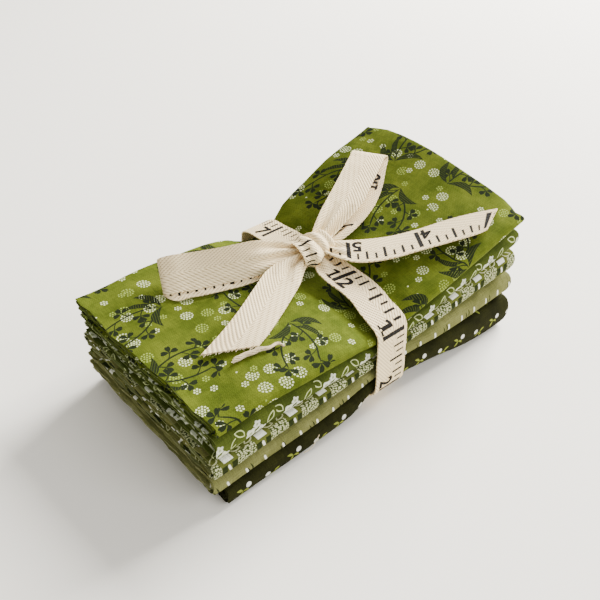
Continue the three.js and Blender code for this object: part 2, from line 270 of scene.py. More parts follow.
def eased(x, knots, values):
    """Smooth curve through the values at the knots, flat beyond its ends."""
    knots, values = np.asarray(knots, float), np.asarray(values, float)
    slopes = np.gradient(values, knots, axis=0)
    x = np.clip(x, knots[0], knots[-1])
    low = np.clip(np.searchsorted(knots, x, side="right") - 1, 0, len(knots) - 2)
    step = knots[low + 1] - knots[low]
    share = (x - knots[low]) / step
    if values.ndim > 1 and values.shape[1:] == x.shape:
        near, far, near_slope, far_slope = (
            np.take_along_axis(table, at[None], 0)[0]
            for table in (values, slopes) for at in (low, low + 1)
        )
    else:
        near, far, near_slope, far_slope = (
            table[at] for table in (values, slopes) for at in (low, low + 1)
        )
        if values.ndim > 1:
            share, step = share[..., None], step[..., None]
    s2, s3 = share**2, share**3
    return (
        near * (2 * s3 - 3 * s2 + 1)
        + far * (3 * s2 - 2 * s3)
        + step * (near_slope * (s3 - 2 * s2 + share) + far_slope * (s3 - s2))
    )


def smooth(x, low, high):
    """A soft step from 0 to 1."""
    share = np.clip((x - low) / (high - low), 0, 1)
    return share * share * (3 - 2 * share)


def station_of(x, y):
    """Where a point lies along the length, told by the folds that follow the tape's slant."""
    shift = np.interp(y, [-40.8, 39.8], [0, 4.8])
    first = x - shift * np.interp(x, STATIONS, SLANT)
    return x - shift * np.interp(first, STATIONS, SLANT)


def rumple(x, y):
    """The soft unevenness that every layer shares."""
    return (
        0.30 * np.sin(x / 8.1 + 0.9 * np.sin(y / 13) + 0.7)
        + 0.22 * np.sin(x / 4.9 - y / 10.5 + 2.1)
        + 0.26 * np.sin(y / 7.3 + 0.6 * np.sin(x / 15) + 1.3)
    )


def upper_side(index, x, y):
    """Height of the upper side of a cloth by its number, or of what the pile lies on for -1."""
    station = station_of(x, y)
    if index < 0:
        cinched = np.interp(station, STATIONS, PULL)
        lifted = eased(station, STATIONS, FRONT_LIFT) * (1 - smooth(y, -37, -8))
        return TAPE_ROOM * smooth(cinched, 0.1, 0.9) + lifted
    depths, *rows = HEIGHTS[CLOTHS[index]]
    along = [eased(station, STATIONS, row) for row in rows]
    if len(depths) == 2:
        share = np.clip((y - depths[0]) / (depths[1] - depths[0]), 0, 1)
        top = along[0] + (along[1] - along[0]) * share
    else:
        top = eased(y, depths, along)
    free = 1 - np.interp(station, STATIONS, PULL)
    return top + rumple(x, y) * free * (0.25 + 0.2 * index)


RUN = np.array([0, 0.04, 0.1, 0.2, 0.3, 0.4, 0.5, 0.6, 0.7, 0.8, 0.9, 0.96, 1])
BEND = np.radians([-67, -45, -22, 0, 22, 45, 67])  # steps along a pack, and round to the next


def nested_path():
    """The route of the six packs through the depth of the pile, as steps along the sheet.

    Each step holds its depth, from 0 at the front folds to 1 at the back; how far it bulges past
    them, and how much more a layer outwards does; its height, from 0 to 1; which way outwards is,
    up or down; and how many packs come before it. Bulges are shares of the height too.
    """
    centre = [(pack + 0.5) / PACKS for pack in range(PACKS)]
    order = [0, 5, 4, 1, 2, 3]
    steps = []
    forward = False
    for turn, pack in enumerate(order):
        depths = RUN if forward else 1 - RUN
        outwards = 1 if forward else -1
        steps += [(d, 0, 0, centre[pack], outwards, turn) for d in depths]
        if turn == len(order) - 1:
            break
        after = order[turn + 1]
        middle, radius = (centre[pack] + centre[after]) / 2, (centre[after] - centre[pack]) / 2
        at_front = not forward
        # Going up round the front, or down round the back, the print is outside the bend.
        grows = (after > pack) == at_front
        for angle in BEND:
            steps.append((
                0 if at_front else 1,
                (-1 if at_front else 1) * math.cos(angle) * abs(radius),
                math.cos(angle) * (1 if grows else -1) * (-1 if at_front else 1),
                middle + radius * math.sin(angle),
                (1 if grows else -1) * math.sin(angle) * (1 if radius > 0 else -1),
                turn + 0.5 + math.sin(angle) / 2,
            ))
        forward = not forward
    return np.array(steps)


def fold_fat_quarter(name):
    """The sheet's middle surface, as a grid of points with its place on the flat cloth."""
    index = CLOTHS.index(name)
    front, bulge, left_end, ragged, right_end, skew = SHAPES[name]
    rng = np.random.RandomState(41 + index)
    steps = nested_path()
    depth, fold_out, fold_layer, height, layer_up, turn = steps.T[:, None, :]
    drift = rng.uniform(-0.5, 0.5, PACKS) / ALL_LAYERS * DRIFT
    ends = rng.uniform(0, ragged, PACKS)
    ends[1] = ends[0] = 0.2  # the outer packs end nearly level
    ends = np.interp(turn, np.arange(PACKS), ends)
    drift = np.interp(turn, np.arange(PACKS), drift)

    # Columns along the sheet: four runs of the length and the three bends between them.
    inside = np.concatenate([
        np.linspace(0, 0.1, 6), np.linspace(0.14, 0.38, 7), np.linspace(0.41, 0.62, 10),
        np.linspace(0.66, 0.92, 7), [0.955, 0.98, 1],
    ])
    round_bend = np.radians([-60, -30, 0, 30, 60])
    columns = []  # (share of the length, layer, bulge to the right, bulge to the left)
    columns += [(s, 0.5, 0, 0) for s in inside]
    columns += [(1, -0.5 * math.sin(a), 0.5 * math.cos(a), 0) for a in round_bend]
    columns += [(s, -0.5, 0, 0) for s in inside[::-1]]
    columns += [(0, -1 - 0.5 * math.sin(a), 0, 0.5 * math.cos(a)) for a in round_bend]
    columns += [(s, -1.5, 0, 0) for s in inside]
    columns += [(1, 1.5 * math.sin(a), 1.5 * math.cos(a), 0) for a in round_bend]
    columns += [(s, 1.5, 0, 0) for s in inside[::-1]]
    share, layer, right_bulge, left_bulge = np.array(columns).T[:, :, None]
    outer_run = 3 * (len(inside) + len(round_bend))

    lean = layer * CLOSENESS / ALL_LAYERS
    t = height + lean * layer_up
    nose = right_end - NOSE * (1 - np.sqrt(1 - np.clip(2 * t - 1, -1, 1) ** 2 * 0.98))
    front_corner = np.clip(1 - depth / CORNER_DEPTH, 0, 1)
    back_corner = np.clip(1 - (1 - depth) / CORNER_DEPTH, 0, 1)
    nose = nose - CORNER * (front_corner**2 + back_corner**2)
    left = left_end + ends + np.where(layer > 0.9, 0, 0.3) - skew * (depth - 0.5)
    left = left + 0.45 * np.sin(depth * 21 + 7 * turn + layer)
    left = left + 0.25 * np.sin(depth * 53 + 3 * layer)
    right = nose - 1.5 * LAYER_STEP
    x = left + (right - left) * share + LAYER_STEP * (right_bulge - left_bulge)

    near_left = 1 - smooth(x, -70, -30)
    t = t + drift * near_left * np.sin(np.pi * np.clip(height, 0, 1))
    cinched = CINCH * np.interp(x, STATIONS, PULL)
    y_front = front + cinched + 0.35 * np.sin(x / 11 + index * 1.7) * (1 - cinched / CINCH)
    y_back = BACK - cinched + 0.3 * np.sin(x / 9 + index)
    out = fold_out + fold_layer * lean
    y = y_front + bulge + depth * (y_back - BACK_FOLD - y_front - bulge)
    y = y + np.where(out < 0, bulge * 2 * out, BACK_FOLD * out * ALL_LAYERS / BACK_LAYERS)
    low = upper_side(index - 1, x, y) + GAP
    high = upper_side(index, x, y)
    z = low + (high - low) * t
    places = np.stack([x, y, z], -1)

    # The sheet's own measure: along both ways from the middle of the outer front fold, which is
    # one pack from the sheet's edge and in the middle of the last of the four runs.
    across = np.linalg.norm(np.diff(places, axis=1), axis=2)
    across = np.concatenate([np.zeros((len(columns), 1)), np.cumsum(across, axis=1)], axis=1)
    first_bend = len(RUN) + len(BEND) // 2
    v = across - across[:, first_bend : first_bend + 1] + FLAT[1] / PACKS
    along = np.linalg.norm(np.diff(places, axis=0), axis=2)
    along = np.concatenate([np.zeros((1, places.shape[1])), np.cumsum(along, axis=0)], axis=0)
    middle = outer_run + len(inside) // 2
    u = along - along[middle : middle + 1] + FLAT[0] * 7 / 8
    return places, np.stack([u, v], -1)


def grid_mesh(name, places, flat, flip=False):
    """A mesh of quads over a grid of points, with the grid's flat place as its UV, in metres."""
    rows, columns = places.shape[:2]
    number = np.arange(rows * columns).reshape(rows, columns)
    quads = np.stack([number[:-1, :-1], number[1:, :-1], number[1:, 1:], number[:-1, 1:]], -1)
    quads = quads.reshape(-1, 4)
    if flip:
        quads = quads[:, ::-1]
    mesh = bpy.data.meshes.new(name)
    mesh.from_pydata((places.reshape(-1, 3) * MM).tolist(), [], quads.tolist())
    layer = mesh.uv_layers.new(name="flat")
    corners = flat.reshape(-1, 2)[quads.reshape(-1)] * MM
    layer.data.foreach_set("uv", corners.ravel().astype(np.float32))
    piece = bpy.data.objects.new(name, mesh)
    bpy.context.collection.objects.link(piece)
    return piece


def select(*pieces):
    """Selects these and nothing else, the first one as the active one."""
    bpy.ops.object.select_all(action="DESELECT")
    for piece in pieces:
        piece.select_set(True)
    bpy.context.view_layer.objects.active = pieces[0]


def thicken(piece, thickness, angle):
    """Gives a surface its thickness, with its second material on the reverse and the rim."""
    select(piece)
    shell = piece.modifiers.new("thickness", "SOLIDIFY")
    shell.thickness = thickness * MM
    shell.offset = 0
    shell.use_even_offset = False
    shell.material_offset = shell.material_offset_rim = 1
    bpy.ops.object.modifier_apply(modifier=shell.name)
    bpy.ops.object.shade_smooth_by_angle(angle=math.radians(angle))


RELIEF = 0.22 * MM  # depth of the weave, for the cloths and for the tape
THREAD_PITCH = 0.44


def fabric(name, roughness, sheen=0.0):
    """A new material's parts and the place on its flat sheet, in mm."""
    material, shader, dye = new_material(name, roughness, sheen)
    sheet = dye.add("ShaderNodeUVMap", {"uv_map": "flat"}).vector_maths("SCALE", {"Scale": 1000.0})
    return material, shader, sheet


def emboss(material, shader, height, strength):
    """Fine relief, by a height of 0 to 1."""
    sockets = {"Height": height, "Strength": strength, "Distance": RELIEF}
    bump = height.add("ShaderNodeBump", None, sockets)
    material.node_tree.links.new(bump.socket, shader.inputs["Normal"])


def cotton(name, ground):
    """Plain-weave cotton with slubs and a soft uneven dye; returns its parts for the print."""
    material, shader, sheet = fabric(name, 0.95)
    light, dark = ground
    mottle = sheet.noise(0.085, 3.0, 0.6)
    mottle = mottle.add(
        "ShaderNodeMapRange", None, {"Value": mottle, "From Min": 0.34, "From Max": 0.66}
    )
    dyed = mottle.mix(hue(dark), hue(light))
    # Warp and weft threads, each a little thick and thin along its length.
    warp = sheet.moved((0, 0), 0, (5, 0.3)).noise(1.0, 2.0, 0.6)
    weft = sheet.moved((3, 7), 0, (0.3, 5)).noise(1.0, 2.0, 0.6)
    slub = warp + weft
    u, v = sheet.parts()
    turn = math.pi / THREAD_PITCH
    over_under = (u * turn).maths("SINE") * (v * turn).maths("SINE")
    emboss(material, shader, slub * 0.5 + over_under * 0.2, 0.55)
    return material, shader, sheet, dyed, slub + over_under * 0.1


def finish_cotton(material, shader, colour, slub):
    """Threads show a little lighter and darker through the dye and the print."""
    shade = slub.add(
        "ShaderNodeMapRange",
        None,
        {"Value": slub, "From Min": 0.75, "From Max": 1.25, "To Min": 0.8, "To Max": 1.2},
    )
    threaded = colour.vector_maths("SCALE", {"Scale": shade})
    material.node_tree.links.new(threaded.socket, shader.inputs["Base Color"])
    return material


def stroke(sheet, start, end, bow, half, shape="stem"):
    """How far inside a bowed stroke each place is, in mm: a stem or a blade."""
    run = Vector(end) - Vector(start)
    size = run.length
    x, y = sheet.moved(start, math.atan2(run.y, run.x), (size, size)).parts()
    belly = x * (1 - x)
    aside = abs(y - belly * (4 * bow / size))
    if shape == "blade":
        profile = belly * (4 * half / size)
    else:
        profile = (belly * (10 * half / size)).maths("MINIMUM", half / size)
    return (profile - aside) * size


def distance(x, y):
    return (x * x + y * y).maths("SQRT")


LEAF_SPREAD = math.radians(75)  # from one leaf of three to the next


def heart_trio(sheet, centre, heading, reach, half):
    """Three heart-shaped leaves round the end of a stalk."""
    x, y = sheet.moved(centre, math.radians(heading), (reach, reach)).parts()
    angle = y.maths("ARCTAN2", x)
    aside = abs(abs(angle) - LEAF_SPREAD / 2) - LEAF_SPREAD / 2
    out = distance(x, y)
    across = abs(out * aside)
    notched = out + (1 - across * 7).maths("MAXIMUM", 0.0) * 0.13
    profile = (notched - 0.12) * (1 - notched).maths("SQRT") * (2.9 * half / reach)
    return (profile - across) * reach


def joined(*shapes):
    """How far inside any of these shapes each place is."""
    whole = shapes[0]
    for shape in shapes[1:]:
        whole = whole.maths("MAXIMUM", shape)
    return whole


def repeated(sheet, width, height, drop=0.5, origin=(0, 0), strewn=None):
    """Cuts the cloth into a dropped repeat: the place in each cell, and the cell's number."""
    u, v = sheet.moved(origin).parts()
    column = (u / width).maths("FLOOR")
    v = v + (column % 2) * (drop * height)
    row = (v / height).maths("FLOOR")
    inside = position(u - (column + 0.5) * width, v - (row + 0.5) * height)
    number = position(column, row)
    if strewn:  # each motif a little off its place, by up to half of this either way
        chance = number.add("ShaderNodeTexWhiteNoise", {"noise_dimensions": "2D"}, {0: number}, 1)
        sockets = {1: (*strewn, 0), 2: (-strewn[0] / 2, -strewn[1] / 2, 0)}
        off = chance.vector_maths("MULTIPLY_ADD", sockets)
        inside = inside.vector_maths("SUBTRACT", {1: off})
    return inside, number


# Top cloth: mid green, with dark leafy sprigs strewn over clusters of pale dotted rosettes.
material, shader, sheet, ground, slub = cotton("leaf_print", ("#5d671e", "#465214"))
cell, number = repeated(sheet, 35.0, 31.0, origin=(7, 11))
chance = number.add("ShaderNodeTexWhiteNoise", {"noise_dimensions": "2D"}, {0: number}, 1)
pick = chance.add("ShaderNodeSeparateColor", None, {0: chance})  # each sprig's turn and side
sprig = cell.add(
    "ShaderNodeVectorRotate",
    {"rotation_type": "Z_AXIS"},
    {"Vector": cell, "Angle": pick * (2 * math.pi)},
)
mirror_x, mirror_y = sprig.parts()
mirror_x = mirror_x * (pick.output(1).maths("GREATER_THAN", 0.5) * 2 - 1)
sprig = position(mirror_x, mirror_y)


def leafy_stem(sheet, start, end, bow, twig, pitch=5.0):
    """A bowed stem with heart-shaped leaves on twigs at both sides by turns, and at its tip."""
    run = Vector(end) - Vector(start)
    size = run.length
    x, y = sheet.moved(start, math.atan2(run.y, run.x)).parts()
    y = y - x * (size - x) * (4 * bow / size**2)
    other_side = y.maths("LESS_THAN", 0.0)
    beside = (x + other_side * pitch + pitch * 0.35) % (2 * pitch) - pitch
    stalk = position(beside, abs(y))
    leaves = joined(
        stroke(stalk, (-1.7, 0.0), (0.2, twig), -0.3, 0.2),
        heart_trio(stalk, (0.1, twig - 0.5), 78, 3.1, 1.05),
    )
    leaves = leaves.maths("MINIMUM", x - pitch * 0.3).maths("MINIMUM", size + 0.6 - x)
    return joined(
        leaves,
        stroke(sheet, start, end, bow, 0.32),
        heart_trio(sheet, end, math.degrees(math.atan2(run.y, run.x)) - 12, 3.3, 1.1),
    )


sprigs = joined(
    leafy_stem(sprig, (-9.5, -9.0), (6.0, 7.6), 2.6, 3.0),
    leafy_stem(sprig, (-3.0, -7.6), (12.0, -0.4), -1.8, 2.6, 4.4),
)
blades = joined(
    stroke(sprig, (-9.4, -8.6), (1.2, -12.0), 2.4, 1.45, "blade"),
    stroke(sprig, (-9.6, -8.2), (-12.0, 2.8), 2.2, 1.35, "blade"),
    stroke(sprig, (-8.0, -6.0), (-5.2, 4.4), 1.8, 1.1, "blade"),
)
# The blades are hatched with lines of the ground, short of their edges.
hatch = ((mirror_x + mirror_y * 2.2) * 3.2).maths("SINE").maths("GREATER_THAN", 0.7) * 0.55
hatch = hatch * (blades - 0.28).crisp(0.2)
# Each rosette is a disc of round dots, in rings of six and twelve about the middle one. They
# gather in clusters, and some are dimmer.
DOT_PITCH = 0.94
discs = sheet.voronoi(1 / 6.4, 0.75)
disc_centre = discs.output(2)
x, y = sheet.vector_maths("SUBTRACT", {1: disc_centre}).parts()
out = distance(x, y) / DOT_PITCH
ring = out.maths("ROUND")
around = y.maths("ARCTAN2", x) * ring * (6 / (2 * math.pi))
around = (around - around.maths("ROUND")) * (math.pi / 3)
dots = distance(out - ring, around)
tint = discs.add("ShaderNodeSeparateColor", None, {0: discs.output(1)})
gathered = disc_centre.noise(0.075, 1.0).maths("GREATER_THAN", 0.45)
rosette = (tint * 2.1 + 0.9 - ring).maths("GREATER_THAN", 0.0) * gathered
rosette = rosette * (0.34 - dots).crisp(0.14)
bright = tint.output(1).maths("GREATER_THAN", 0.4)
colour = rosette.mix(ground, bright.mix(hue("#8a9a48"), hue("#cbd3a2")))
inked = joined(sprigs, blades).crisp(0.14) * (1 - hatch)
leaf_material = finish_cotton(material, shader, inked.mix(colour, hue("#1f2616")), slub)


def plain_reverse(name, ground):
    """The unprinted side of the cloth, paler and flatter than its face."""
    material, shader, _, dyed, slub = cotton(name, ground)
    return finish_cotton(material, shader, dyed, slub)


# Second cloth: deep green with off-white flowers in bunches and open leaf outlines.
material, shader, sheet, ground, slub = cotton("blossom_print", ("#48521e", "#364016"))
FOLD_LINE = FLAT[1] / PACKS - 0.8  # the flat place of the middle of the front fold
cell, _ = repeated(sheet, 15.6, 12.4, 0, (2, FOLD_LINE - 7.4), (3.0, 1.2))


def flower(sheet, place, size, petals, turn):
    """How far inside a flower each place is, and how far out from its middle."""
    x, y = sheet.moved(place, turn, (size, size)).parts()
    out = distance(x, y)
    lobes = (y.maths("ARCTAN2", x) * petals).maths("COSINE") * 0.14 + 0.82
    return (lobes - out) * size, out


def leaf_loop(sheet, start, end, bow, half):
    """How far inside the drawn outline of a leaf each place is."""
    return 0.2 - abs(stroke(sheet, start, end, bow, half, "blade") - 0.25)


left_flower, left_out = flower(cell, (-2.2, -0.7), 2.3, 5, 0.3)
right_flower, right_out = flower(cell, (1.7, 0.7), 2.1, 4, 0.9)
small_flower, small_out = flower(cell, (-0.8, 2.6), 1.5, 5, 0.1)
low_flower, _ = flower(cell, (1.6, -2.6), 1.5, 5, 0.7)
petals = joined(left_flower, right_flower, small_flower, low_flower)
hearts = left_out.maths("MINIMUM", right_out).maths("MINIMUM", small_out)
loops = joined(
    leaf_loop(cell, (4.0, 1.6), (7.4, 4.6), 0.4, 1.2),
    leaf_loop(cell, (4.2, -1.4), (7.6, -3.6), 0.4, 1.2),
    leaf_loop(cell, (-4.6, 0.2), (-7.4, 3.6), 0.2, 1.2),
    leaf_loop(cell, (-4.6, -2.2), (-7.2, -4.8), 0.4, 1.0),
)
colour = loops.crisp(0.14).mix(ground, hue("#b4be86"))
colour = petals.crisp(0.16).mix(colour, hue("#c6cab4"))
colour = (0.3 - hearts).crisp(0.2).mix(colour, hue("#8f9874"))
blossom_material = finish_cotton(material, shader, colour, slub)

# Third cloth: dark olive with a row of hatched cream blocks, each under a pair of leaves, and
# between them dark patches, pale plaques and white dashes. Its front edge is lighter below.
material, shader, sheet, ground, slub = cotton("lattice_print", ("#5b602b", "#485020"))
BLOCK_PITCH = 12.7
block, _ = repeated(sheet, BLOCK_PITCH, 17.0, 0, (4, FOLD_LINE - 8.9))
between, _ = repeated(sheet, BLOCK_PITCH, 17.0, 0, (4 + BLOCK_PITCH / 2, FOLD_LINE - 8.9))
x, y = block.parts()
aside, upright = between.parts()
ground = (-2.9 - y).crisp(0.3).mix(ground, hue("#6c6d3d"))
patches = (1.0 - abs(abs(aside) - 1.8)).maths("MINIMUM", 1.9 - abs(upright - 0.8))
colour = patches.crisp(0.3).mix(ground, hue("#262d13"))
barrel = (3.5 - abs(x) - (y - 0.6) * (y - 0.6) * 0.03).maths("MINIMUM", 3.9 - abs(y - 0.6))
colour = barrel.crisp(0.3).mix(colour, hue("#3a4420"))
weaving = sheet.moved((0, 0), 0.2, (1.0, 0.62)).voronoi(1.0, 0.6)
leaf_pair = joined(
    leaf_loop(block, (-0.6, 5.0), (-4.4, 7.8), 0.6, 1.1),
    leaf_loop(block, (0.6, 5.0), (4.2, 7.8), -0.6, 1.1),
)
plaque = (1.7 - abs(aside)).maths("MINIMUM", 1.0 - abs(upright - 4.6))
dashes = joined(
    stroke(between, (0.5, 2.5), (-0.4, -0.6), 0.0, 0.42),
    stroke(between, (1.4, -3.1), (4.4, -3.5), 0.0, 0.42),
    stroke(between, (-1.4, -3.1), (-4.4, -3.5), 0.0, 0.42),
)
colour = (barrel.crisp(0.3) * (0.38 - weaving).crisp(0.14)).mix(colour, hue("#b4b78c"))
colour = leaf_pair.crisp(0.14).mix(colour, hue("#b4b78c"))
colour = joined(dashes, plaque).crisp(0.16).mix(colour, hue("#dcddcc"))
lattice_material = finish_cotton(material, shader, colour, slub)

# Fourth cloth: light olive with short white dashes and thin dark blades in pairs.
material, shader, sheet, ground, slub = cotton("dash_print", ("#737445", "#606236"))
cell, _ = repeated(sheet, 7.1, 9.4, 0, (1, FOLD_LINE - 4.9))
dashes = stroke(cell, (0.6, 1.9), (-0.5, -1.7), 0.0, 0.37)
cell, _ = repeated(sheet, 12.7, 9.4, 0, (3, FOLD_LINE - 4.9), (1.0, 0.5))
thin_blades = joined(
    stroke(cell, (-0.6, -3.2), (0.5, 2.6), 0.5, 0.3, "blade"),
    stroke(cell, (0.7, -3.4), (1.8, 1.8), 0.5, 0.28, "blade"),
)
colour = thin_blades.crisp(0.14).mix(ground, hue("#262b14"))
colour = dashes.crisp(0.14).mix(colour, hue("#dcddcc"))
dash_material = finish_cotton(material, shader, colour, slub)

# Bottom cloth: very dark olive with white dots, each beside a light green sprout.
material, shader, sheet, ground, slub = cotton("dot_print", ("#272810", "#1b1c0a"))
cell, number = repeated(sheet, 10.2, 11.0, 0, (3, FOLD_LINE - 5.5), (1.0, 0.3))
column, _ = number.parts()
x, y = cell.parts()
turned = (column % 2) * 2 - 1  # every other one points the other way
flipped = position(x * turned, y - turned * 0.8)
dot = 1.0 - distance(*flipped.moved((-1.2, 0.6)).parts())
sprout = joined(
    stroke(flipped, (1.2, -0.6), (3.6, 0.8), 0.3, 0.5, "blade"),
    stroke(flipped, (1.2, -0.6), (-1.0, -2.1), -0.5, 0.46, "blade"),
    stroke(flipped, (1.2, -0.6), (2.2, -3.2), 0.2, 0.46, "blade"),
)
colour = sprout.crisp(0.16).mix(ground, hue("#7f8838"))
colour = dot.crisp(0.2).mix(colour, hue("#d4d4ca"))
dot_material = finish_cotton(material, shader, colour, slub)

# Each cloth's printed side, and the lighter and darker hue of its reverse.
PRINTS = {
    "dot_print": (dot_material, ("#3c3d24", "#2c2d18")),
    "dash_print": (dash_material, ("#9a9b6c", "#808255")),
    "lattice_print": (lattice_material, ("#858a5c", "#676d42")),
    "blossom_print": (blossom_material, ("#78824c", "#5f6938")),
    "leaf_print": (leaf_material, ("#69743a", "#57622c")),
}
for name in CLOTHS:
    places, flat = fold_fat_quarter(name)
    print_material, reverse = PRINTS[name]
    piece = grid_mesh(name + "_cloth", places, flat, flip=True)
    piece.data.materials.append(print_material)
    piece.data.materials.append(plain_reverse(name + "_reverse", reverse))
    thicken(piece, TOP_THREAD if name == "leaf_print" else THREAD, 70)
    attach(piece, "root")
    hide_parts(name)

# ---- The tape tie --------------------------------------------------------------------------
# Half-inch cotton twill tape with a herringbone weave and printed inch marks on one side. One
# length goes round the pile and is tied over it in a bow, its ends cut on the slant.
TAPE_WIDTH = 13.4
TAPE_THICKNESS = 0.5
DEEPEST_PLEAT = 0.95
INCH = 25.4
# Rows of the strips' two edges, from the knot outwards: edge a x, y, z, then edge b x, y, z.
LEFT_LOOP = [
    (2.6, 0.6, 43.6, 3.0, 3.8, 44.6),
    (-2.4, 1.4, 43.0, -1.6, 5.8, 45.4),
    (-8.4, 2.6, 41.9, -6.4, 9.6, 47.2),
    (-18.6, 5.4, 40.6, -14.6, 11.6, 50.2),
    (-30.0, 10.4, 39.8, -25.4, 16.6, 49.8),
    (-40.0, 14.8, 39.4, -35.0, 22.6, 48.8),
    (-46.2, 18.1, 39.2, -42.4, 26.4, 48.7),
    (-48.0, 19.2, 38.8, -44.3, 28.0, 47.8),
    (-48.2, 19.8, 38.2, -44.4, 28.9, 46.8),
    (-47.6, 17.6, 37.9, -43.0, 29.0, 45.9),
    (-41.2, 13.2, 38.0, -34.2, 26.2, 45.2),
    (-31.4, 8.8, 38.2, -23.6, 21.2, 45.6),
    (-19.9, 5.2, 38.7, -14.2, 16.4, 46.0),
    (-8.0, 5.2, 40.0, -6.4, 12.2, 44.8),
    (2.6, 1.6, 41.8, 3.0, 5.0, 43.4),
]
RIGHT_LOOP = [
    (4.4, 4.4, 45.0, 6.6, 0.6, 44.2),
    (7.4, 6.6, 47.4, 12.4, 1.2, 45.4),
    (10.6, 8.2, 49.6, 18.0, 2.0, 47.4),
    (19.4, 12.4, 53.0, 28.0, 3.4, 50.8),
    (31.6, 18.8, 55.8, 40.4, 9.2, 54.4),
    (43.6, 25.6, 57.8, 51.6, 15.2, 56.8),
    (47.4, 27.8, 58.0, 55.6, 17.4, 57.2),
    (48.8, 28.4, 57.2, 57.0, 17.8, 56.4),
    (48.6, 28.0, 56.0, 56.6, 17.2, 55.6),
    (46.4, 26.4, 54.8, 53.6, 15.0, 54.4),
    (36.4, 19.6, 50.4, 44.0, 8.0, 50.6),
    (24.6, 13.6, 45.9, 32.8, 2.4, 47.6),
    (14.0, 8.4, 43.8, 21.4, 0.0, 44.8),
    (8.4, 5.8, 43.4, 12.4, 0.0, 43.4),
    (4.4, 4.0, 43.2, 6.6, 0.8, 42.8),
]
LEFT_TAIL = [
    (2.8, -0.8, 43.0, 2.4, 2.8, 43.8),
    (-1.6, -2.0, 42.6, -3.0, 3.0, 44.0),
    (-5.4, -4.0, 41.8, -9.0, 4.0, 44.0),
    (-10.6, -7.8, 40.6, -16.4, 2.6, 43.6),
    (-18.0, -11.8, 39.7, -26.2, -2.0, 42.4),
    (-27.0, -16.4, 39.0, -36.4, -6.9, 41.0),
    (-34.4, -20.0, 38.5, -45.6, -10.4, 39.6),
    (-40.2, -22.3, 38.0, -56.0, -13.5, 38.0),
]
RIGHT_TAIL = [
    (4.8, 3.2, 43.4, 3.6, -0.4, 43.2),
    (8.6, 2.2, 43.6, 4.8, -2.6, 43.2),
    (12.4, 0.4, 43.6, 6.0, -7.2, 43.2),
    (17.8, -4.2, 43.7, 9.4, -14.4, 43.5),
    (25.6, -10.8, 44.8, 17.2, -21.6, 44.5),
    (36.2, -17.0, 46.5, 28.8, -28.0, 46.6),
    (48.3, -23.8, 49.2, 40.3, -34.4, 49.3),
    (54.6, -28.2, 50.8, 45.6, -37.2, 50.4),
    (61.3, -33.3, 52.4, 49.2, -38.4, 51.0),
]
FRONT_X, BACK_X = 0.8, 5.6  # the band's middle line on the front face and on the back face
FRONT_FACE, BACK_FACE = -40.9, 39.6
BAND_TOP = [  # rows of its two edges from the knot to the front edge
    (1.6, 1.6, 41.6, 6.6, 1.2, 41.8), (0.6, -2.0, 41.2, 8.2, -2.6, 41.1),
    (-1.0, -5.2, 40.4, 9.6, -6.2, 40.2), (-2.0, -8.6, 39.6, 10.6, -10.4, 39.3),
    (-2.1, -13.5, 38.8, 11.2, -14.9, 38.4), (-1.6, -17.9, 38.0, 11.5, -19.3, 37.7),
    (-1.9, -23.4, 37.2, 11.1, -24.8, 36.9), (-3.9, -30.4, 36.4, 9.3, -31.4, 36.2),
    (-5.5, -37.0, 35.8, 7.9, -37.6, 35.8), (-5.9, -39.4, 35.0, 7.5, -39.6, 35.0),
    (-5.9, -40.7, 33.0, 7.5, -40.7, 33.0),
]
BAND_ROUND = [  # rows of its middle and half its width, from there round to the knot
    (FRONT_X, FRONT_FACE, 30.0, 6.7), (FRONT_X, FRONT_FACE, 21.0, 6.7),
    (FRONT_X, FRONT_FACE, 12.0, 6.7), (FRONT_X, -40.6, 9.6, 6.7), (FRONT_X, -39.7, 7.7, 6.7),
    (FRONT_X, -38.2, 6.5, 6.7), (0.9, -36.2, 5.85, 6.7), (1.1, -33.0, 5.2, 6.7),
    (1.8, -20.0, 2.75, 6.7), (2.2, -13.0, 1.0, 6.7), (2.5, -9.0, 0.45, 6.7),
    (2.8, -4.0, 0.4, 6.7), (4.2, 16.0, 0.4, 6.7),
    (5.2, BACK_FACE - 7, 0.4, 6.7), (BACK_X, BACK_FACE - 5, 0.4, 6.7),
    (BACK_X, BACK_FACE - 2.2, 0.5, 6.7), (BACK_X, BACK_FACE - 0.6, 1.6, 6.7),
    (BACK_X, BACK_FACE, 4.2, 6.7), (BACK_X, BACK_FACE, 18.0, 6.7), (BACK_X, BACK_FACE, 32.8, 6.7),
    (BACK_X, BACK_FACE - 0.6, 35.4, 6.7), (BACK_X, BACK_FACE - 3.2, 36.8, 6.7),
    (5.4, 28.0, 37.8, 6.7), (4.8, 18.0, 39.2, 6.5), (3.8, 9.6, 41.2, 5.0),
    (3.6, 5.4, 42.2, 3.4), (3.6, 2.2, 42.4, 2.4),
]
BAND = BAND_TOP + [(x - reach, y, z, x + reach, y, z) for x, y, z, reach in BAND_ROUND]


